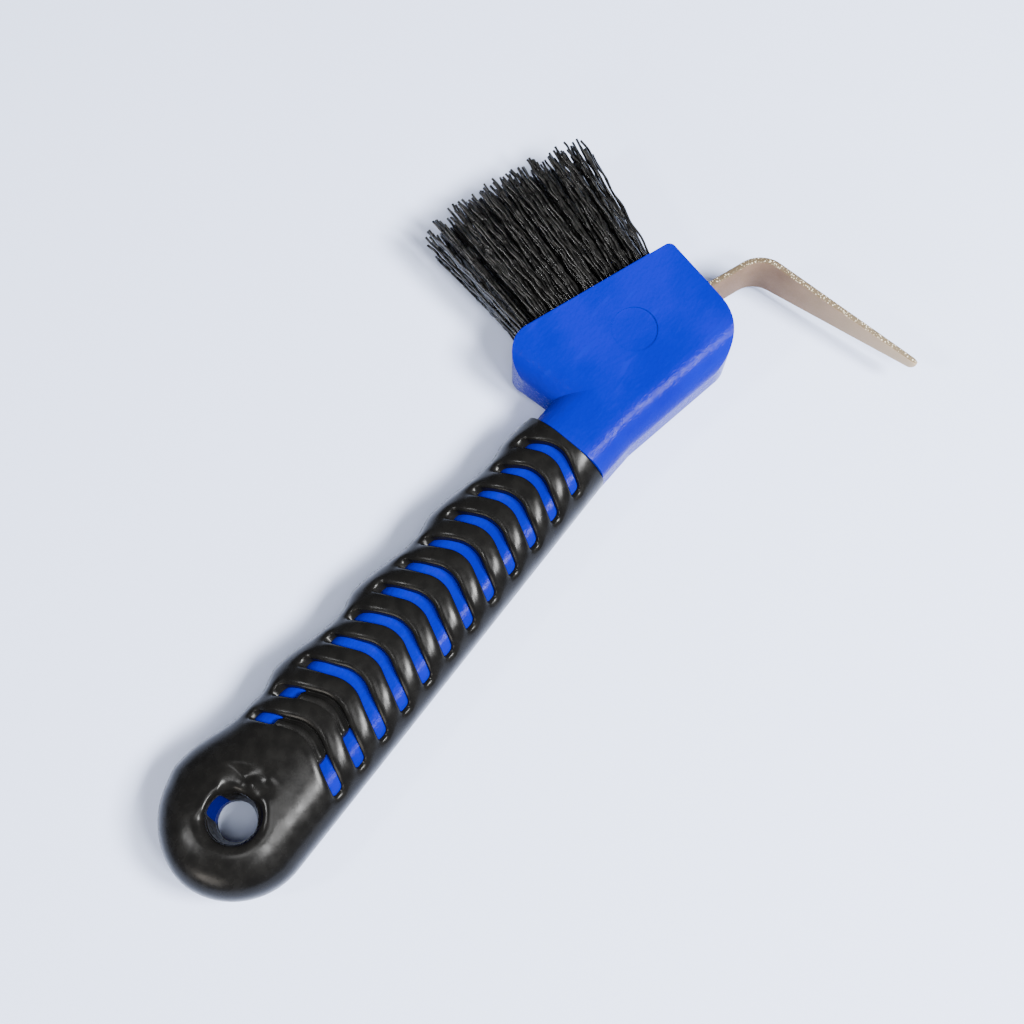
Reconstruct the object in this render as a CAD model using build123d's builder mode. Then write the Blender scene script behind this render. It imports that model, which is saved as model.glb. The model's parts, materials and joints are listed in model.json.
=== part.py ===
"""Hoof pick with a brush, in millimetres.

A one-piece plastic handle and head, a bent flat steel hook moulded into the head, stiff bristle tufts
stapled into drilled holes, and a soft rubber grip sleeve with chevron slots that show the plastic under it.

The tool lies flat. +X runs along the handle to the hook, +Y points the way the bristles do, and the origin
is on the table, under the middle of the tool's box. Pieces are drawn on two planes at half thickness: the
handle plane starts at the hanging hole, the head plane at the head's corner between brush and tip faces.
"""

from build123d import *

import os
from math import atan, cos, degrees, radians, sin, tan

# ---- driving dimensions, with angles in degrees ----
tool_length = 182.7      # end of the rubber to the outside of the hook
tool_width = 100.0       # hook tip to bristle tips
half_height = 9.5        # half the thickness of the tool
butt_reach = 16.1        # hanging hole to the end of the rubber
hook_reach = 44.8        # handle axis to the hook tip

hole_radius = 4.3        # the hanging hole's waist, half way through the handle
hole_waist = 3.0
hole_mouth_radius = 5.6
hole_rim_radius = 7.0    # the opening in the rubber around it
hole_rim_at = 1.4
hole_rim_nose = 5.5      # and its narrower end, toward the head
hole_rim_nose_radius = 4.5

grip_end = 102.4         # hanging hole to the head end of the sleeve
grip_shift = -0.7        # the grip's middle line passes the hanging hole at this distance
rubber = 2.5             # wall of the sleeve
hand_half_width = 15.2   # half width of the sleeve at the hanging hole
neck_half_width = 9.4    # and where it meets the head
core_butt_radius = 12.7
butt_radius = 15.2       # rounded end of the sleeve
butt_shift = 0.4         # stands out this much more on the brush side
palm_height = 1.6        # swell of the brush side near the hanging hole
palm_length = 18.0
core_round = 4.5         # rounding of the plastic core's long edges
sleeve_round = 7.5       # and of the sleeve's
finger_count = 4         # finger swells on the brush side of the sleeve
finger_pitch = 22.5
first_finger = 28.5
finger_rise = 6.5        # each swell climbs over this length, and falls over the rest of the pitch
finger_height = 1.4

slot_count = 12          # chevron slots in each broad face of the sleeve
skinned_slots = 2        # the first ones are skinned over in the middle
slot_pitch = 6.95
first_slot = 22.3        # hanging hole to the tip of the first chevron
slot_width = 2.4
slot_lean = 24.0         # each arm of a chevron leans back by this angle
slot_bend = 8.0          # radius of the chevron's tip
slot_side_wall = 1.6     # rubber left beyond the ends of a slot
slot_floor = 3.0         # the ends of the slots wrap down to this far above the middle of the thickness
skin_half_width = 5.0    # half width of the skin in the first slots
skin_depth = 1.2         # how deep the skin lies

head_turn = -17.5        # the head leans off the handle's axis by this angle
head_corner = (151.0, 11.9)
head_length = 46.0       # along the brush face
back_corner = (3.5, -27.0)    # where the tip face would meet the back of the head
back_slope = 9.6         # the back of the head widens toward the handle by this angle
back_length = 34.6       # that corner to where the back meets the neck
step_foot = (-40.6, -14.2)    # where the step meets the neck
step_round = 6.5         # plan radii of the head's corners
back_corner_round = 11.0
tip_corner_round = 1.6
edge_round = 6.0         # rounding of the head's back and step
neck_length = 13.0       # plastic neck from the sleeve into the head
mark_radius = 5.0        # round mould mark on each broad face
mark_at = (-17.6, -12.8)
mark_depth = 0.25

bar_width = 12.4         # flat steel bar of the hook
bar_thick = 1.8
bar_drop = 12.2          # brush face to the middle of the bar
tang_length = 29.0
tang_hole_radius = 2.4
tang_holes = (-7.0, -20.0)
shank_length = 16.3      # tip face to the sharp corner of the bar's outside
arm_angle = -84.0        # the arm's direction from +X
bend_radius = 5.6        # inside of the bend
taper_start = -8.0       # the arm narrows from here to the tip
tip_width = 3.4
tip_thick = 1.3

tuft_columns = 8
tuft_rows = 3
tuft_pitch = 4.3
row_pitch = 4.6
first_tuft = 10.2        # step to the first tuft
tuft_radius = 1.5
tuft_seat = 7.6          # depth of the drilled holes
tuft_tip_radius = 2.2
tuft_reach = 35.5        # length of the bristles outside the head
tuft_fall = 2.5          # the end columns are shorter by this much
fan_start = 7.0          # the first column leans off the brush face's normal by this angle
fan_end = -1.5           # and the last column by this one
row_splay = 3.0          # the outer rows lean away from the middle row by this angle
anchor_size = (3.7, 0.4, 1.6)
anchor_lift = 0.7        # bottom of the drilled hole to the anchor

# ---- planes ----
handle = Plane(origin=(butt_reach - tool_length / 2, hook_reach - tool_width / 2, half_height))
head = Plane(handle.from_local_coords(Vector(*head_corner, 0))).rotated((0, 0, head_turn))
across = Plane(handle.origin, x_dir=(0, 1, 0), z_dir=(1, 0, 0))


def on_handle(u, v):
    """A point of the head plane, in the handle plane's coordinates."""
    return handle.to_local_coords(head.from_local_coords(Vector(u, v, 0)))


def half_width(x):
    """Half width of the plain sleeve at x."""
    return hand_half_width + (neck_half_width - hand_half_width) * x / grip_end


def edge_plane(start, end):
    """Plane square to the line between two points of the head plane: x across it to the left, y up."""
    start_at = head.from_local_coords(Vector(*start, 0))
    end_at = head.from_local_coords(Vector(*end, 0))
    direction = (end_at - start_at).normalized()
    return Plane(start_at, x_dir=Vector(0, 0, 1).cross(direction), z_dir=direction)


# ---- hook: a flat bar with a holed tang, bent once, its arm tapering to a blunt tip ----
turn = radians(arm_angle - head_turn)
along_arm = Vector(cos(turn), sin(turn))
off_arm = Vector(sin(turn), -cos(turn))
bar_top = bar_thick / 2 - bar_drop
corner = Vector(shank_length, bar_top)
arm_length = (hook_reach + on_handle(corner.X, corner.Y).Y) / sin(radians(-arm_angle))
tip = corner + along_arm * arm_length
inside_corner = corner + Vector(bar_thick * tan(turn / 2), -bar_thick)

with BuildPart() as hook:
    with BuildSketch(head):
        with BuildLine():
            FilletPolyline(
                (-tang_length, bar_top),
                corner,
                tip,
                tip + off_arm * tip_thick,
                inside_corner,
                (-tang_length, bar_top - bar_thick),
                radius=[0, bend_radius + bar_thick, 0.4, 0.4, bend_radius, 0],
                close=True,
            )
        make_face()
    extrude(amount=bar_width / 2, both=True)
    with BuildSketch(across):
        with BuildLine():
            FilletPolyline(
                (2 * bar_width, bar_width / 2),
                (taper_start, bar_width / 2),
                (-hook_reach, tip_width / 2),
                (-hook_reach, -tip_width / 2),
                (taper_start, -bar_width / 2),
                (2 * bar_width, -bar_width / 2),
                radius=[0, 10, tip_width * 0.45, tip_width * 0.45, 10, 0],
                close=True,
            )
        make_face()
    extrude(amount=tool_length, mode=Mode.INTERSECT)
    bar_face = Plane(head.from_local_coords(Vector(0, bar_top, 0)), x_dir=head.x_dir, z_dir=head.y_dir)
    with BuildSketch(bar_face):
        with Locations(*[(hole_at, 0) for hole_at in tang_holes]):
            Circle(tang_hole_radius)
    extrude(amount=-bar_thick, mode=Mode.SUBTRACT)
hook.part.label = "hook"


# ---- bristle tufts, each folded over a flat wire anchor at the bottom of its drilled hole ----
def tuft_plane(column, row):
    """Plane at the mouth of a tuft's hole, its z axis along the bristles."""
    share = column / (tuft_columns - 1)
    level = row - (tuft_rows - 1) / 2
    lean = radians(fan_start + (fan_end - fan_start) * share + head_turn)
    splay = radians(row_splay * level)
    mouth_at = Vector(first_tuft - head_length + tuft_pitch * column, 0, row_pitch * level)
    mouth = head.from_local_coords(mouth_at)
    bristles = Vector(-sin(lean) * cos(splay), cos(lean) * cos(splay), sin(splay))
    return Plane(mouth, x_dir=bristles.cross(Vector(0, 0, 1)), z_dir=bristles)


tuft_names = [(column, row) for row in range(tuft_rows) for column in range(tuft_columns)]

with BuildPart() as tuft_anchors:
    for column, row in tuft_names:
        plane = tuft_plane(column, row)
        with BuildSketch(plane.offset(anchor_lift - tuft_seat)):
            Rectangle(anchor_size[0], anchor_size[1])
        extrude(amount=anchor_size[2])
tuft_anchors.part.label = "tuft_anchors"


def make_tuft(column, row):
    """One tuft: straight in its hole, flaring outside it."""
    plane = tuft_plane(column, row)
    middle = (tuft_columns - 1) / 2
    reach = tuft_reach - tuft_fall * ((column - middle) / middle) ** 2
    flare = degrees(atan((tuft_tip_radius - tuft_radius) / reach))
    with BuildPart() as tuft:
        with BuildSketch(plane):
            Circle(tuft_radius)
        extrude(amount=-tuft_seat)
        with BuildSketch(plane):
            Circle(tuft_radius)
        extrude(amount=reach, taper=-flare)
        add(tuft_anchors.part, mode=Mode.SUBTRACT)
    tuft.part.label = f"bristle_tuft_{row + 1}_{column + 1}"
    return tuft


tufts = [make_tuft(column, row) for column, row in tuft_names]

# ---- body: head, neck and handle core in one moulding ----
back_end = (back_corner[0] - back_length, back_corner[1] - back_length * tan(radians(back_slope)))
step_top = (-head_length, 0)

with BuildPart() as head_block:
    with BuildSketch(head):
        with BuildLine():
            FilletPolyline(
                (0, 0),
                step_top,
                step_foot,
                back_end,
                back_corner,
                radius=[tip_corner_round, step_round, 0, 0, back_corner_round],
                close=True,
            )
        make_face()
    extrude(amount=half_height, both=True)
    # the back and the step are rounded over, the brush face and the tip face stay square
    for start, end in ((back_end, back_corner), (step_top, step_foot)):
        with BuildSketch(edge_plane(start, end)):
            with BuildLine():
                FilletPolyline(
                    (0, -half_height),
                    (3 * head_length, -half_height),
                    (3 * head_length, half_height),
                    (0, half_height),
                    radius=[edge_round, 0, 0, edge_round],
                    close=True,
                )
            make_face()
        extrude(amount=2 * head_length, both=True, mode=Mode.INTERSECT)
    for side in (1, -1):
        with BuildSketch(head.offset(side * half_height)):
            with Locations(mark_at):
                Circle(mark_radius)
        extrude(amount=-side * mark_depth, mode=Mode.SUBTRACT)

with BuildPart() as body:
    with BuildSketch(handle):
        with Locations((0, grip_shift)):
            Circle(core_butt_radius)
        with Locations((grip_end + neck_length, grip_shift)):
            Rectangle(1, 2 * (neck_half_width - rubber))
        make_hull()
    extrude(amount=half_height - rubber, both=True)
    fillet(body.faces().filter_by(Axis.Z).edges(), core_round)
    with BuildSketch(across.offset(grip_end)):
        with Locations((grip_shift, 0)):
            RectangleRounded(2 * neck_half_width, 2 * half_height, edge_round)
    extrude(amount=neck_length)
    add(head_block.part)
    # the hanging hole is narrowest half way through, and opens toward both faces
    with BuildSketch(Plane(handle.origin, x_dir=(1, 0, 0), z_dir=(0, -1, 0))):
        Polygon(
            (0, -half_height),
            (hole_mouth_radius, -half_height + rubber),
            (hole_radius, -hole_waist / 2),
            (hole_radius, hole_waist / 2),
            (hole_mouth_radius, half_height - rubber),
            (0, half_height),
            align=None,
        )
    revolve(axis=Axis(handle.origin, (0, 0, 1)), mode=Mode.SUBTRACT)
    add(hook.part, mode=Mode.SUBTRACT)
    add(tuft_anchors.part, mode=Mode.SUBTRACT)
    for tuft in tufts:
        add(tuft.part, mode=Mode.SUBTRACT)
body.part.label = "body"

# ---- grip sleeve ----
def palm_width(x):
    """Half width of the sleeve on the brush side, between the butt and the first finger swell."""
    return half_width(x) + palm_height * (1 - x / palm_length) ** 2


sleeve_stations = [(x, palm_width(x)) for x in (0, palm_length / 3, 2 * palm_length / 3)]
for finger in range(finger_count):
    peak = first_finger + finger_pitch * finger
    sleeve_stations.append((peak - finger_rise, half_width(peak - finger_rise)))
    sleeve_stations.append((peak, half_width(peak) + finger_height))
last_fall = (peak + grip_end) / 2
sleeve_stations.append((last_fall, half_width(grip_end - 4) + finger_height / 2))
sleeve_stations.append((grip_end, neck_half_width))


def chevron(number):
    """Closed outline of one slot, its arms leaning back from the tip."""
    slot_tip = first_slot + slot_pitch * number + slot_bend * (1 / cos(radians(slot_lean)) - 1)
    reach = half_width(slot_tip) - slot_side_wall
    sweep = reach * tan(radians(slot_lean))
    half_slot = slot_width / 2 / cos(radians(slot_lean))
    FilletPolyline(
        (slot_tip + half_slot, grip_shift),
        (slot_tip + half_slot - sweep, grip_shift + reach),
        (slot_tip - half_slot - sweep, grip_shift + reach),
        (slot_tip - half_slot, grip_shift),
        (slot_tip - half_slot - sweep, grip_shift - reach),
        (slot_tip + half_slot - sweep, grip_shift - reach),
        radius=[slot_bend + slot_width / 2, 1, 1, slot_bend - slot_width / 2, 1, 1],
        close=True,
    )


with BuildPart() as grip_sleeve:
    for x, brush_side in sleeve_stations:
        back_side = half_width(x)
        with BuildSketch(across.offset(x)):
            with Locations(((brush_side - back_side) / 2 + grip_shift, 0)):
                RectangleRounded(brush_side + back_side, 2 * half_height, sleeve_round)
    loft()
    butt_middle = handle.from_local_coords(Vector(butt_radius - butt_reach, butt_shift, 0))
    butt = Plane(butt_middle, x_dir=(1, 0, 0), z_dir=(0, -1, 0))
    with BuildSketch(butt):
        RectangleRounded(2 * butt_radius, 2 * half_height, sleeve_round)
        with Locations((-butt_radius, 0)):
            Rectangle(2 * butt_radius, 2 * half_height, mode=Mode.SUBTRACT)
    revolve(axis=Axis(butt.origin, (0, 0, 1)))
    with BuildSketch(handle.offset(-half_height)):
        with Locations((hole_rim_at, 0)):
            Circle(hole_rim_radius)
        with Locations((hole_rim_nose, 0)):
            Circle(hole_rim_nose_radius)
        make_hull()
    extrude(amount=2 * half_height, mode=Mode.SUBTRACT)
    add(body.part, mode=Mode.SUBTRACT)
    for side in (1, -1):
        for number in range(slot_count):
            with BuildSketch(handle.offset(side * slot_floor)):
                with BuildLine():
                    chevron(number)
                make_face()
                if number < skinned_slots:
                    with Locations((first_slot + slot_pitch * number, grip_shift)):
                        Rectangle(slot_pitch * 2, 2 * skin_half_width, mode=Mode.SUBTRACT)
            extrude(amount=side * half_height, mode=Mode.SUBTRACT)
            if number < skinned_slots:
                with BuildSketch(handle.offset(side * (half_height - skin_depth))):
                    with BuildLine():
                        chevron(number)
                    make_face()
                extrude(amount=side * half_height, mode=Mode.SUBTRACT)
grip_sleeve.part.label = "grip_sleeve"

os.makedirs("parts", exist_ok=True)
for piece in (body, hook, grip_sleeve, tuft_anchors, *tufts):
    export_step(piece.part, f"parts/{piece.part.label}.step")
    solids = len(piece.part.solids())
    print(piece.part.label, piece.part.bounding_box(), round(piece.part.volume, 1), solids)
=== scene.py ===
"""Looks of the hoof pick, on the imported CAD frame.

Shapes are made in the handle's own coordinates: millimetres from the middle of the hanging hole,
x along the handle to the hook, y the way the bristles point, z up. place() turns them into the
frame's metres.
"""

import json
import math
import random

import bpy
import numpy as np
from mathutils import Matrix, Vector


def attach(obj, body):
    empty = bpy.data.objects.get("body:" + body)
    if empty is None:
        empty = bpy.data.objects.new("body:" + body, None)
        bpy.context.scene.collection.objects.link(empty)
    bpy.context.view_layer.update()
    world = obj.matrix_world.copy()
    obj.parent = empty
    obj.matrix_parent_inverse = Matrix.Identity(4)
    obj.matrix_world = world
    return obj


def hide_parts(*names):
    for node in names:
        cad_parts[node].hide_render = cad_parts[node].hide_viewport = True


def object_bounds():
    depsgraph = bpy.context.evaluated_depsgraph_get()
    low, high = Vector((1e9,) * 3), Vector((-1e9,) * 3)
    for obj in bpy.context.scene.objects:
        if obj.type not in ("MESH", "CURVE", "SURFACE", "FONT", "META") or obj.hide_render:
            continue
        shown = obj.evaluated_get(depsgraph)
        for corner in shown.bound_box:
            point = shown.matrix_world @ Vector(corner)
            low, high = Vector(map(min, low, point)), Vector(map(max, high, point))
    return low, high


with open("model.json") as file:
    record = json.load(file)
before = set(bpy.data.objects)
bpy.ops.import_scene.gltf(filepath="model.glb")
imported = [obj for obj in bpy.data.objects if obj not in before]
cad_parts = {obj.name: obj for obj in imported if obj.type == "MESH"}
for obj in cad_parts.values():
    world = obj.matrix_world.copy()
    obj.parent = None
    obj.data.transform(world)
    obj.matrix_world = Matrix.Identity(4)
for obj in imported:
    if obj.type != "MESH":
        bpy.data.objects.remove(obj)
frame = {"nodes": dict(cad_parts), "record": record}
cad_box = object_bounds()

MM = 0.001
mounts = {mount["name"]: mount for mount in frame["record"]["mounts"]}
hole = np.array(mounts["hanging_hole"]["pos_m"])


def place(points):
    """Points in handle millimetres, as metres in the frame."""
    return hole + np.asarray(points, float) * MM


def smooth(x, low, high):
    """0 below low, 1 above high, smooth between."""
    t = np.clip((np.asarray(x, float) - low) / (high - low), 0, 1)
    return t * t * (3 - 2 * t)


# ---- camera ----
camera_data = bpy.data.cameras.new("camera")
camera_data.lens = 58.22
camera_data.sensor_width = 36
camera_data.clip_start = 10 * MM
camera = bpy.data.objects.new("camera", camera_data)
bpy.context.scene.collection.objects.link(camera)
bpy.context.scene.camera = camera
look_at = Vector(place((86.877, 1.8266, -9.5)))
view_from = look_at + Vector((-70.67, -60.72, 347.73)) * MM
right = Vector((0.6517, -0.7585, 0)).normalized()
away = Vector((0.7585, 0.6517, 0)).normalized()
back = (view_from - look_at).normalized()
turned = Matrix((right, back.cross(right), back)).transposed().to_4x4()
camera.matrix_world = Matrix.Translation(view_from) @ turned


# ---- materials ----
def node(material, kind, **values):
    """A new shader node with its input sockets set."""
    made = material.node_tree.nodes.new(kind)
    for name, value in values.items():
        socket = name.replace("_", " ")
        if isinstance(value, bpy.types.NodeSocket):
            material.node_tree.links.new(value, made.inputs[socket])
        else:
            made.inputs[socket].default_value = value
    return made


def blank(name):
    """A new material, its shader and its object coordinates."""
    material = bpy.data.materials.new(name)
    material.use_nodes = True
    shader = material.node_tree.nodes["Principled BSDF"]
    place_of = material.node_tree.nodes.new("ShaderNodeTexCoord").outputs["Object"]
    return material, shader, place_of


def noise(material, at, size_mm, detail=2.0, stretch=(1, 1, 1), turn=0.0):
    """Noise with features about size_mm across."""
    mapping = node(material, "ShaderNodeMapping", Vector=at, Rotation=(0, 0, turn), Scale=stretch)
    return node(
        material, "ShaderNodeTexNoise", Vector=mapping.outputs["Vector"], Scale=1000 / size_mm, Detail=detail
    ).outputs["Fac"]


def spread(material, value, from_low, from_high, to_low, to_high):
    """A value mapped from one range to another."""
    return node(
        material,
        "ShaderNodeMapRange",
        Value=value,
        From_Min=from_low,
        From_Max=from_high,
        To_Min=to_low,
        To_Max=to_high,
    ).outputs["Result"]


def blended(material, factor, first, second):
    """A colour mixed from two."""
    mix = material.node_tree.nodes.new("ShaderNodeMix")
    mix.data_type = "RGBA"
    material.node_tree.links.new(factor, mix.inputs[0])
    # sockets 6 and 7 are this node's two colours
    for socket, colour in ((mix.inputs[6], first), (mix.inputs[7], second)):
        if isinstance(colour, bpy.types.NodeSocket):
            material.node_tree.links.new(colour, socket)
        else:
            socket.default_value = (*colour, 1)
    return mix.outputs[2]


def bumped(material, height, depth_mm, strength=1.0, under=None):
    """A normal bumped by a height that runs over depth_mm."""
    bump = node(material, "ShaderNodeBump", Height=height, Distance=depth_mm * MM, Strength=strength)
    if under is not None:
        material.node_tree.links.new(under, bump.inputs["Normal"])
    return bump.outputs["Normal"]


def join(material, value, socket):
    """Links a value to a socket."""
    material.node_tree.links.new(value, socket)


def make_plastic():
    """Glossy moulded plastic, with flow streaks, a fine speckle that breaks up its highlights, and painted
    shade that darkens it toward the wall of the hanging hole.
    """
    material, shader, at = blank("blue_plastic")
    clouds = noise(material, at, 14, 3)
    streaks = noise(material, at, 2.2, 3, (0.25, 1, 1), math.radians(17.5))
    grain = noise(material, at, 0.65, 4, (0.6, 1, 1), math.radians(17.5))
    tint = blended(material, spread(material, clouds, 0.35, 0.65, 0, 1), (0.0, 0.0, 0.2), (0.0, 0.001, 0.245))
    tint = blended(material, spread(material, streaks, 0.62, 0.8, 0, 0.35), tint, (0.0, 0.008, 0.32))
    # painted shade: the blue darkens to near black within about 12 mm of the hanging hole, standing in for
    # the shade deep in the hole
    from_hole = material.node_tree.nodes.new("ShaderNodeVectorMath")
    from_hole.operation = "DISTANCE"
    join(material, at, from_hole.inputs[0])
    from_hole.inputs[1].default_value = hole
    hole_shade = spread(material, from_hole.outputs["Value"], 8 * MM, 12 * MM, 0.85, 0)
    tint = blended(material, hole_shade, tint, (0.0, 0.0, 0.03))
    join(material, tint, shader.inputs["Base Color"])
    join(material, spread(material, grain, 0.3, 0.7, 0.16, 0.32), shader.inputs["Roughness"])
    waves = bumped(material, streaks, 0.05)
    join(material, bumped(material, grain, 0.1, 1.0, waves), shader.inputs["Normal"])
    shader.inputs["IOR"].default_value = 1.1
    return material


def make_rubber():
    """Satin soft rubber, faintly wavy, slightly greyer where it is rubbed."""
    material, shader, at = blank("black_rubber")
    waves = noise(material, at, 9, 2)
    mottle = noise(material, at, 2.6, 3)
    grain = noise(material, at, 0.3, 2)
    rubbed = spread(material, mottle, 0.35, 0.7, 0, 1)
    tint = blended(material, rubbed, (0.0042, 0.0041, 0.004), (0.006, 0.0058, 0.0055))
    join(material, tint, shader.inputs["Base Color"])
    join(material, spread(material, mottle, 0.3, 0.7, 0.2, 0.32), shader.inputs["Roughness"])
    slow = bumped(material, waves, 0.16)
    mid = bumped(material, mottle, 0.03, 1.0, slow)
    join(material, bumped(material, grain, 0.004, 1.0, mid), shader.inputs["Normal"])
    shader.inputs["IOR"].default_value = 1.2
    return material


def make_steel():
    """Dull plated steel, with faint rolling marks, a warm tint, painted shade on the faces turned up and
    painted glints speckled over them.
    """
    material, shader, at = blank("plated_steel")
    patches = noise(material, at, 5, 4)
    grain = noise(material, at, 0.35, 3)
    lines = noise(material, at, 0.5, 2, (1, 0.08, 1), 0)
    dull = spread(material, patches, 0.3, 0.7, 0, 1)
    tint = blended(material, dull, (0.14, 0.086, 0.05), (0.19, 0.12, 0.073))
    along = node(material, "ShaderNodeSeparateXYZ", Vector=at).outputs["Y"]
    tint = blended(material, spread(material, along, -15 * MM, -50 * MM, 0, 0.9), tint, (0.42, 0.32, 0.2))
    coordinates = material.node_tree.nodes.new("ShaderNodeTexCoord").outputs["Normal"]
    upward = node(material, "ShaderNodeSeparateXYZ", Vector=coordinates).outputs["Z"]
    # painted glints: bright specks where the grain peaks on faces turned up
    up_glints = node(material, "ShaderNodeMath", Value=spread(material, upward, 0.3, 0.8, 0, 1))
    up_glints.operation = "MULTIPLY"
    join(material, spread(material, grain, 0.58, 0.67, 0, 1), up_glints.inputs[1])
    # painted shade: faces turned up are darker, standing in for the dark reflection along the bar's top edge
    tint = blended(material, spread(material, upward, 0.3, 0.8, 0, 0.85), tint, (0.07, 0.055, 0.035))
    # painted glints: the bright specks are blended into the colour here
    tint = blended(material, up_glints.outputs["Value"], tint, (0.75, 0.68, 0.52))
    join(material, tint, shader.inputs["Base Color"])
    join(material, spread(material, grain, 0.3, 0.7, 0.45, 0.65), shader.inputs["Roughness"])
    rough = bumped(material, lines, 0.012)
    join(material, bumped(material, grain, 0.03, 1.0, rough), shader.inputs["Normal"])
    shader.inputs["Metallic"].default_value = 0.15
    shader.inputs["IOR"].default_value = 1.13
    return material


def make_bristle():
    """Black nylon with a slight shine."""
    material, shader, at = blank("black_bristle")
    grain = noise(material, at, 1.2, 2)
    paler = spread(material, grain, 0.4, 0.65, 0, 1)
    tint = blended(material, paler, (0.003, 0.003, 0.003), (0.009, 0.0085, 0.008))
    join(material, tint, shader.inputs["Base Color"])
    join(material, spread(material, grain, 0.3, 0.7, 0.22, 0.4), shader.inputs["Roughness"])
    shader.inputs["IOR"].default_value = 1.5
    return material


def make_floor():
    """Pale plain board."""
    material, shader, at = blank("floor")
    clouds = noise(material, at, 90, 2)
    tint = blended(material, clouds, (0.6, 0.68, 0.92), (0.61, 0.69, 0.93))
    join(material, tint, shader.inputs["Base Color"])
    shader.inputs["Roughness"].default_value = 0.9
    shader.inputs["Specular IOR Level"].default_value = 0.1
    return material


plastic = make_plastic()
rubber = make_rubber()
steel = make_steel()
bristle = make_bristle()


def show_with(name, material):
    """Gives a CAD node that stays shown a finished material."""
    for index in range(len(frame["nodes"][name].material_slots)):
        frame["nodes"][name].material_slots[index].material = material


show_with("body", plastic)
show_with("tuft_anchors", steel)


def ring_faces(rings, sides):
    """Faces that join each closed ring of points to the next."""
    return [
        (
            ring * sides + side,
            ring * sides + (side + 1) % sides,
            (ring + 1) * sides + (side + 1) % sides,
            (ring + 1) * sides + side,
        )
        for ring in range(rings - 1)
        for side in range(sides)
    ]


def end_faces(rings, sides):
    """Faces that close the first ring and the last."""
    last = (rings - 1) * sides
    return [tuple(reversed(range(sides))), tuple(last + side for side in range(sides))]


def new_piece(name, points, faces, material, replaced, flat_angle=None):
    """A smooth-shaded mesh piece from points in handle millimetres."""
    mesh = bpy.data.meshes.new(name)
    mesh.from_pydata(place(points).tolist(), [], faces)
    mesh.validate()
    mesh.materials.append(material)
    mesh.shade_smooth()
    if flat_angle is not None:
        mesh.set_sharp_from_angle(angle=math.radians(flat_angle))
    piece = bpy.data.objects.new(name, mesh)
    bpy.context.scene.collection.objects.link(piece)
    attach(piece, "root")
    if replaced:
        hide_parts(*replaced)
    return piece


# ---- grip sleeve ----
GRIP_END = 102.4
BUTT_END = 16.1
HALF_HEIGHT = 9.5
FINGER_COUNT = 4
FIRST_FINGER = 28.5
FINGER_PITCH = 22.5
SLOT_COUNT = 12
FIRST_SLOT = 22.3
SLOT_PITCH = 6.95
HALF_SLOT = 1.3
SLOT_LEAN = math.radians(24)
SLOT_BEND = 8.0
FULL_DEPTH = 3.0
RING_POINTS = 320
ROUNDNESS = 2.35
SKINNED_SLOTS = 2
RIB_HALF = 1.9
COLLAR_AT = np.array((1.0, 0.3))


def near_side(x):
    """Half width of the sleeve on the side away from the bristles."""
    return (15.65 - 0.051 * np.maximum(x, 0)) * butt_share(x, 1.95)


def far_side(x):
    """Half width on the bristle side, with the palm swell and four finger swells."""
    width = 14.9 - 0.049 * np.maximum(x, 0)
    width = width + (1.6 + 0.6 * smooth(x, -4.0, 1.0)) * (1 - smooth(x, 3.0, 16.5))
    for finger in range(FINGER_COUNT):
        peak = FIRST_FINGER + FINGER_PITCH * finger
        swell = 1.75 - 0.22 * finger
        width = width + swell * smooth(x, peak - 6.5, peak - 0.5) * (1 - smooth(x, peak + 0.5, peak + 14.5))
    return width * butt_share(x, 1.85)


def butt_share(x, power):
    """How much of the width or height is left toward the rounded end."""
    beyond = np.clip(-np.asarray(x, float) / BUTT_END, 0, 1)
    return (1 - beyond**power) ** (1 / power)


def height(x):
    """Half height of the sleeve."""
    return HALF_HEIGHT * butt_share(x, 2.5)


def top_of(x, y):
    """Height of the sleeve's plain surface above the middle of the thickness."""
    beside = np.abs(y) / np.where(y > 0, far_side(x), near_side(x))
    return height(x) * (1 - np.clip(beside, 0, 1) ** ROUNDNESS) ** (1 / ROUNDNESS)


def chevron(y):
    """How far a chevron's arm lies behind its tip at y."""
    bend_end = SLOT_BEND * math.sin(SLOT_LEAN)
    y = np.abs(y)
    arc = SLOT_BEND - np.sqrt(np.maximum(SLOT_BEND**2 - np.minimum(y, bend_end) ** 2, 0))
    return arc + np.maximum(y - bend_end, 0) * math.tan(SLOT_LEAN)


def rounded(beside, beyond, corner):
    """Distance inside a rounded slot, from the distances inside its sides and its ends."""
    a = corner - beside
    b = corner - beyond
    outside = np.hypot(np.maximum(a, 0), np.maximum(b, 0))
    return corner - outside - np.minimum(np.maximum(a, b), 0)


def lip_drop(inside, lip, depth):
    """Drop of the surface: a rounded lip outside the edge, a steep wall inside it."""
    over = np.clip(inside + lip, 0, lip)
    wall = np.clip(inside / 0.18, 0, 1)
    return lip - np.sqrt(lip**2 - over**2) + np.maximum(depth - lip, 0) * wall


def collar_edge(around):
    """Distance from the collar's middle to where it meets the plain sleeve."""
    return 10.4 + 2.2 * np.maximum(np.cos(around), 0) ** 2


def ring_angles():
    """Angles that space the points of the sleeve's outline evenly."""
    dense = np.linspace(0, 2 * math.pi, 20001)
    y, z = outline(dense, 14.0, 14.0, HALF_HEIGHT)
    along = np.concatenate([[0], np.cumsum(np.hypot(np.diff(y), np.diff(z)))])
    return np.interp(np.linspace(0, along[-1], RING_POINTS + 1)[:-1], along, dense)


def outline(angle, far, near, high):
    """Rounded outline of the sleeve across the handle."""
    power = 2 / ROUNDNESS
    y = np.sign(np.cos(angle)) * np.abs(np.cos(angle)) ** power
    z = np.sign(np.sin(angle)) * np.abs(np.sin(angle)) ** power
    return np.where(y > 0, y * far, y * near), z * high


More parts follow.
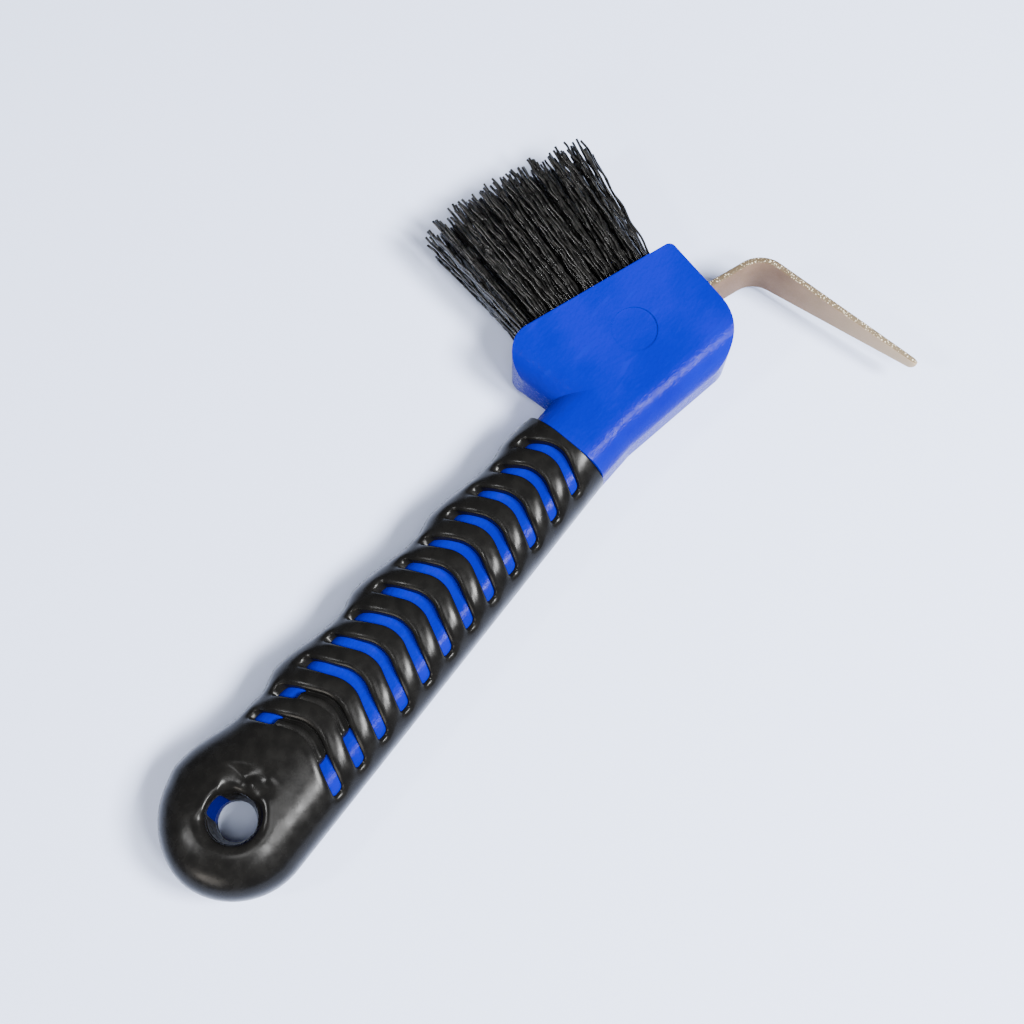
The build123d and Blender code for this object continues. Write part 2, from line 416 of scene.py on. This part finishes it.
def stations():
    """Places along the sleeve, closest together at the lips of the slots."""
    places = list(-BUTT_END * np.sin(np.linspace(math.pi / 2, 0, 60)))
    places += list(np.arange(0.3, FIRST_SLOT - 3.6, 0.3))
    beside = (-1.25, -0.8, -0.45, -0.22, -0.1, -0.03, 0.0, 0.08, 0.2, 0.34, 0.5, 0.68, 0.9, 1.2, 1.6, 2.1)
    for number in range(SLOT_COUNT):
        middle = FIRST_SLOT + SLOT_PITCH * number
        for gap in beside:
            places += [middle - HALF_SLOT - gap, middle + HALF_SLOT + gap]
    places = [x for x in places if x < GRIP_END - 0.6]
    places += [GRIP_END - 0.6, GRIP_END - 0.4, GRIP_END - 0.22, GRIP_END - 0.08, GRIP_END]
    return np.array(sorted(set(round(x, 3) for x in places)))


def make_sleeve():
    """The rubber sleeve: rings along the handle, leaning with the chevrons, pressed in at the slots."""
    along = stations()
    angles = ring_angles()
    x_line, angle = np.meshgrid(along, angles, indexing="ij")
    lean = smooth(x_line, 4.0, 19.0) * (1 - smooth(x_line, GRIP_END - 2.2, GRIP_END))
    y0, _ = outline(angle, far_side(x_line), near_side(x_line), height(x_line))
    x = x_line - chevron(y0) * lean
    y, z = outline(angle, far_side(x), near_side(x), height(x))
    # slots
    drop = np.zeros_like(x)
    ribs = np.full_like(x, 9.0)
    y_end = np.where(y > 0, 14.9 - 0.049 * x - 2.1, 15.6 - 0.0505 * x - 1.75)
    beyond = (y_end - np.abs(y)) * 1.25
    skin = 1 - smooth(np.abs(y - 0.3), 5.6, 7.6)
    for number in range(SLOT_COUNT):
        middle = FIRST_SLOT + SLOT_PITCH * number
        beside = (HALF_SLOT - np.abs(x_line - middle)) * math.cos(SLOT_LEAN)
        inside = rounded(beside, beyond, 0.9)
        depth = np.full_like(x, FULL_DEPTH)
        lip = 0.55 + 0.4 * smooth(x_line - middle, -0.5, 0.5)
        if number < SKINNED_SLOTS:
            # rubber skins the middle of these over and leaves a groove along the head side
            across = (x_line - middle) / HALF_SLOT
            shallow = 0.1 + 1.6 * smooth(across, 0.1, 0.85)
            depth = FULL_DEPTH - (FULL_DEPTH - shallow) * skin
            lip = lip - 0.5 * skin * (across < 0)
        drop = np.maximum(drop, np.where(inside > -lip, lip_drop(inside, lip, depth), 0))
        ribs = np.minimum(ribs, np.abs(inside))
    # the ribs between the slots are crowned
    crown = 0.42 * np.clip(1 - ribs / RIB_HALF, 0, 1) ** 2
    drop = np.maximum(drop, np.where(drop < 0.7, drop + crown * (1 - drop / 0.7), 0))
    around = np.arctan2(y - COLLAR_AT[1], x - COLLAR_AT[0])
    in_collar = np.hypot(x - COLLAR_AT[0], y - COLLAR_AT[1]) < collar_edge(around) - 0.5
    # inward along the outline's own normal, less so near the middle line
    dy = np.roll(y, -1, axis=1) - np.roll(y, 1, axis=1)
    dz = np.roll(z, -1, axis=1) - np.roll(z, 1, axis=1)
    length = np.maximum(np.hypot(dy, dz), 1e-9)
    keep = np.minimum(1, np.hypot(y, z) / 6)
    y = y - dz / length * drop * keep
    z = z + dy / length * drop * keep
    points = np.stack([x, y, z], -1).reshape(-1, 3)
    gone = ((drop > FULL_DEPTH - 0.03) | in_collar).reshape(-1)
    faces = [corners for corners in ring_faces(*x.shape) if not all(gone[corner] for corner in corners)]
    return new_piece("rubber_sleeve", points, faces, rubber, ["grip_sleeve"])


make_sleeve()


# ---- collar: the rubber around the hanging hole, where it runs down into the hole ----
SUNK = 0.012
WAIST_WALL = 4.18
HALF_WAIST = 1.5
LUMPS = ((8.0, 1.2, 0.5), (10.2, -0.5, 0.35))


def make_collar(face):
    """Rings from the sleeve's surface over a rounded rim and down the hole, with a tongue to the head."""
    around = np.linspace(-math.pi, math.pi, 289)[:-1]
    degree = np.degrees(around)
    tongue = smooth(degree, -32, 4) * (1 - smooth(degree, 24, 54))
    gap = smooth(degree, 54, 74) * (1 - smooth(degree, 116, 140))
    pocket = smooth(degree, -80, -50) * (1 - smooth(degree, -24, -8))
    edge = collar_edge(around)
    rim = 5.35 + 0.1 * gap + 0.6 * pocket - 0.3 * tongue
    lip = 2.6 - 1.5 * gap - 1.2 * pocket - 1.3 * tongue
    groove = smooth(degree, -8, 28) * (1 - smooth(degree, 34, 66))
    dip = 0.8 * tongue + 0.5 * groove
    roll = 1.4 * lip
    profile = []
    # from the sleeve's surface, dipping toward the rim
    for step in np.linspace(0, 1, 22):
        out = edge + (rim + roll - edge) * step
        sunk = SUNK * (1 - smooth(edge - out, 0.8, 3.0)) + dip * smooth(step, 0.3, 1.0)
        profile.append((out, sunk, 1.0))
    # over the rounded rim
    for turn in np.linspace(0, math.pi / 2, 14)[1:]:
        over = dip + lip * (1 - math.cos(turn)) ** 1.2
        profile.append((rim + roll * (1 - math.sin(turn)), over, 1 - 0.55 * turn))
    # down the wall of the hole, just inside the core's own, except at the gap
    bottom = 9.0 - 6.3 * gap
    for step in np.linspace(0, 1, 26)[1:]:
        drop = dip + lip + (bottom - dip - lip) * step
        cone = WAIST_WALL + 1.05 * np.clip((HALF_HEIGHT - drop - HALF_WAIST) / 5.5, 0, 1)
        ledge = rim - 0.15 * step
        inside = np.minimum(ledge, cone + np.maximum(ledge - cone, 0) * (1 - smooth(drop, 1.5, 2.0)))
        profile.append((inside + (ledge - inside) * gap**5, drop, 0.136 * (1 - smooth(step, 0, 0.3))))
    points = []
    for out, drop, share in profile:
        # the lower rings draw in to the hanging hole itself
        x = COLLAR_AT[0] * share + out * np.cos(around)
        y = COLLAR_AT[1] * share + out * np.sin(around)
        lumps = np.zeros_like(x)
        for lump_x, lump_y, size in LUMPS:
            lumps += size * np.exp(-(((x - lump_x) ** 2 + (y - lump_y) ** 2) / 2.4))
        lumps *= np.clip((edge - out - 1.0) / 0.8, 0, 1) * np.clip(1 - (drop - dip) / lip, 0, 1)
        points.append(np.stack([x, y, (top_of(x, y) - drop + lumps) * face], -1))
    faces = ring_faces(len(points), len(around))
    if face < 0:
        faces = [corners[::-1] for corners in faces]
    name = "hole_collar_top" if face > 0 else "hole_collar_bottom"
    return new_piece(name, np.concatenate(points), faces, rubber, [])


make_collar(1)
make_collar(-1)


# ---- hook ----
HEAD_CORNER = np.array((151.0, 11.9))
HEAD_TURN = math.radians(-17.5)


def on_head(u, v, w=0.0):
    """A point given along the brush face, out of it and up, in handle coordinates."""
    return np.array(
        (
            HEAD_CORNER[0] + u * math.cos(HEAD_TURN) - v * math.sin(HEAD_TURN),
            HEAD_CORNER[1] + u * math.sin(HEAD_TURN) + v * math.cos(HEAD_TURN),
            w,
        )
    )


BAR_MIDDLE = -12.2
HALF_BAR = 0.9
TANG_START = -29
BEND_AT = 16.3
ARM_ANGLE = math.radians(-84)
TAPER_START = -8.0
TIP_AT = -44.8
TIP_ROUND = 1.6


def make_hook():
    """The flat bar, swept along its bent middle line with rounded edges, narrowing to a blunt tip."""
    bend_turn = HEAD_TURN - ARM_ANGLE
    start = on_head(TANG_START, BAR_MIDDLE)[:2]
    corner = on_head(BEND_AT - HALF_BAR * math.tan(bend_turn / 2), BAR_MIDDLE)[:2]
    direction = np.array((math.cos(ARM_ANGLE), math.sin(ARM_ANGLE)))
    reach = (corner[1] - TIP_AT) / -direction[1]
    end = corner + direction * reach
    first = (corner - start) / np.linalg.norm(corner - start)
    bend = 6.5
    setback = bend * math.tan(bend_turn / 2)
    line = [start + first * d for d in np.linspace(0, np.linalg.norm(corner - start) - setback, 60)]
    centre = corner - first * setback + bend * np.array((first[1], -first[0]))
    for turn in np.linspace(0, bend_turn, 28)[1:]:
        spoke = np.array((-first[1], first[0])) * bend
        line.append(
            centre
            + np.array(
                (
                    spoke[0] * math.cos(turn) + spoke[1] * math.sin(turn),
                    -spoke[0] * math.sin(turn) + spoke[1] * math.cos(turn),
                )
            )
        )
    arm_start = corner + direction * setback
    arm_length = np.linalg.norm(end - arm_start)
    line += [arm_start + direction * d for d in np.linspace(0, arm_length - TIP_ROUND, 90)[1:]]
    line += [end - direction * (TIP_ROUND * (1 - math.sin(t))) for t in np.linspace(0, math.pi / 2, 12)[1:]]
    line = np.array(line)
    tangents = np.gradient(line, axis=0)
    tangents /= np.linalg.norm(tangents, axis=1)[:, None]
    points = []
    for at, along in zip(line, tangents):
        share = np.clip((TAPER_START - at[1]) / (TAPER_START - TIP_AT), 0, 1)
        wide = 6.7 - 5.0 * share
        thick = 0.68 - 0.1 * np.clip(np.dot(at - arm_start, direction) / arm_length, 0, 1)
        left = max(0.0, np.dot(end - at, direction))
        if left < TIP_ROUND:
            round_off = math.sqrt(max(0.0, 1 - (1 - left / TIP_ROUND) ** 2))
            wide = wide - 1.45 * (1 - round_off)
            thick = thick * (0.35 + 0.65 * round_off)
        across = np.array((-along[1], along[0]))
        at = at + across * (HALF_BAR - thick)
        edge = min(0.32, thick * 0.7)
        ring = []
        for side_y, side_z, low in ((1, 1, 0), (-1, 1, 90), (-1, -1, 180), (1, -1, 270)):
            for step in range(5):
                turn = math.radians(low + step * 22.5)
                ring.append(
                    (
                        side_y * (thick - edge) + edge * math.cos(turn),
                        side_z * (wide - edge) + edge * math.sin(turn),
                    )
                )
        points += [(*(at + across * y), z) for y, z in ring]
    sides = len(points) // len(line)
    faces = ring_faces(len(line), sides) + end_faces(len(line), sides)
    return new_piece("hook_bar", points, faces, steel, ["hook"], 40)


make_hook()


# ---- bristles ----
TUFT_ROWS = 3
TUFT_COLUMNS = 8
TUFT_PITCH = 4.3
ROW_PITCH = 4.6
FIRST_TUFT = -35.8
ROOT_DEPTH = 3.0
REACH = 34.3
FILAMENTS = 16
GOLDEN_TURN = 2.39996
BRISTLE_HALF = 9.0


def filament(seed_random, root, direction, side, length, crimp, wave, phase, radius):
    """Points and faces of one crimped filament."""
    steps = max(12, int(length * 2.0))
    along = np.linspace(0, 1, steps)
    other = np.cross(direction, side)
    bend = seed_random.uniform(-1.0, 1.0)
    swing = seed_random.uniform(-1.0, 1.0)
    drift = seed_random.uniform(-0.9, 0.9)
    wiggle = np.sin(2 * math.pi * along * length / wave + phase + drift * np.sin(3 * along)) * crimp
    centre = (
        root
        + np.outer(along * length, direction)
        + np.outer(wiggle + bend * along**2, side)
        + np.outer(0.15 * wiggle * np.cos(5 * along + phase) + swing * along**2, other)
    )
    centre[:, 2] = BRISTLE_HALF * np.tanh(centre[:, 2] / BRISTLE_HALF)
    tangent = np.gradient(centre, axis=0)
    tangent /= np.linalg.norm(tangent, axis=1)[:, None]
    first = np.cross(tangent, other)
    first /= np.linalg.norm(first, axis=1)[:, None]
    second = np.cross(tangent, first)
    sides = 6
    rings = []
    for corner in range(sides):
        turn = 2 * math.pi * corner / sides
        rings.append(centre + radius * (first * math.cos(turn) + second * math.sin(turn)))
    points = np.stack(rings, 1).reshape(-1, 3)
    return points, ring_faces(steps, sides) + end_faces(steps, sides)


def make_tuft(column, row):
    """A bundle of crimped filaments standing in one drilled hole."""
    dice = random.Random(100 * row + column + 5)
    level = row - 1
    lean = math.radians(7.0 - 8.5 * column / (TUFT_COLUMNS - 1)) + HEAD_TURN
    splay = math.radians(3.0 * level)
    root = on_head(FIRST_TUFT + TUFT_PITCH * column, 0, ROW_PITCH * level)
    axis = np.array((-math.sin(lean) * math.cos(splay), math.cos(lean) * math.cos(splay), math.sin(splay)))
    side = np.cross(axis, (0, 0, 1.0))
    side /= np.linalg.norm(side)
    other = np.cross(side, axis)
    middle = (TUFT_COLUMNS - 1) / 2
    reach = REACH - 1.6 * ((column - middle) / middle) ** 2
    points = []
    faces = []
    for number in range(FILAMENTS):
        turn = number * GOLDEN_TURN + dice.uniform(-0.3, 0.3)
        out = math.sqrt((number + 0.5) / FILAMENTS)
        foot = root + (side * math.cos(turn) + other * math.sin(turn)) * out * 1.75 - axis * ROOT_DEPTH
        flare = out * dice.uniform(0.2, 1.6)
        tip_shift = (side * math.cos(turn) + other * math.sin(turn)) * flare
        direction = axis * 36 + tip_shift + side * dice.uniform(-2.2, 2.2) + other * dice.uniform(-1.2, 1.2)
        direction /= np.linalg.norm(direction)
        length = reach + ROOT_DEPTH - abs(dice.gauss(0, 1.5)) + dice.uniform(-0.5, 0.6)
        if (row, column) == (TUFT_ROWS - 1, TUFT_COLUMNS - 1) and number in (8, 11):
            # two stray ends stand clear of the rest
            length = reach + 0.5 + 0.3 * number
            direction = axis * 36 - side * 1.5
            direction /= np.linalg.norm(direction)
        plane_turn = dice.uniform(0, math.pi)
        crimp_side = side * math.cos(plane_turn) + other * math.sin(plane_turn)
        crimp_side = crimp_side - direction * np.dot(crimp_side, direction)
        crimp_side /= np.linalg.norm(crimp_side)
        made, made_faces = filament(
            dice,
            foot,
            direction,
            crimp_side,
            length,
            dice.uniform(0.12, 0.26),
            dice.uniform(4.5, 8.5),
            dice.uniform(0, 6.28),
            dice.uniform(0.26, 0.31),
        )
        first = sum(len(batch) for batch in points)
        points.append(made)
        faces += [tuple(first + corner for corner in face) for face in made_faces]
    name = f"tuft_{row + 1}_{column + 1}"
    replaced = [f"bristle_tuft_{row + 1}_{column + 1}"]
    return new_piece(name, np.concatenate(points), faces, bristle, replaced)


for row in range(TUFT_ROWS):
    for column in range(TUFT_COLUMNS):
        make_tuft(column, row)


# ---- floor and lights ----
floor_mesh = bpy.data.meshes.new("floor")
half = 3
floor_corners = [(-half, -half, 0), (half, -half, 0), (half, half, 0), (-half, half, 0)]
floor_mesh.from_pydata(floor_corners, [], [(0, 1, 2, 3)])
floor_mesh.materials.append(make_floor())
floor = bpy.data.objects.new("floor", floor_mesh)
floor.location.z = cad_box[0].z - 0.2 * MM
bpy.context.scene.collection.objects.link(floor)


def soft_box(name, towards, distance, size, power, colour=(1, 1, 1)):
    """A rectangular area light that faces the point the camera looks at."""
    data = bpy.data.lights.new(name, "AREA")
    data.shape = "RECTANGLE"
    data.size, data.size_y = size
    data.energy = power
    data.color = colour
    light = bpy.data.objects.new(name, data)
    light.location = look_at + towards.normalized() * distance
    light.rotation_mode = "QUATERNION"
    light.rotation_quaternion = towards.to_track_quat("Z", "Y")
    bpy.context.scene.collection.objects.link(light)


up = Vector((0, 0, 1))
soft_box("key", right * 0.66 - away * 0.21 + up, 0.9, (0.24, 0.24), 28)
soft_box("flank", right * 0.33 - away * 0.36 + up * 0.77, 0.9, (0.14, 0.14), 8)
soft_box("left", -right * 0.616 - away * 0.21 + up * 0.69, 0.95, (0.12, 0.12), 4)
soft_box("low", -away * 1.25 - right * 0.75 + up * 0.6, 0.9, (0.4, 0.2), 4.5, (1, 0.93, 0.85))
soft_box("front", -away * 0.27 + up, 1.2, (0.36, 0.36), 6)
world = bpy.data.worlds.new("room")
world.use_nodes = True
world.node_tree.nodes["Background"].inputs["Color"].default_value = (0.85, 0.9, 1.0, 1)
world.node_tree.nodes["Background"].inputs["Strength"].default_value = 0.06
bpy.context.scene.world = world
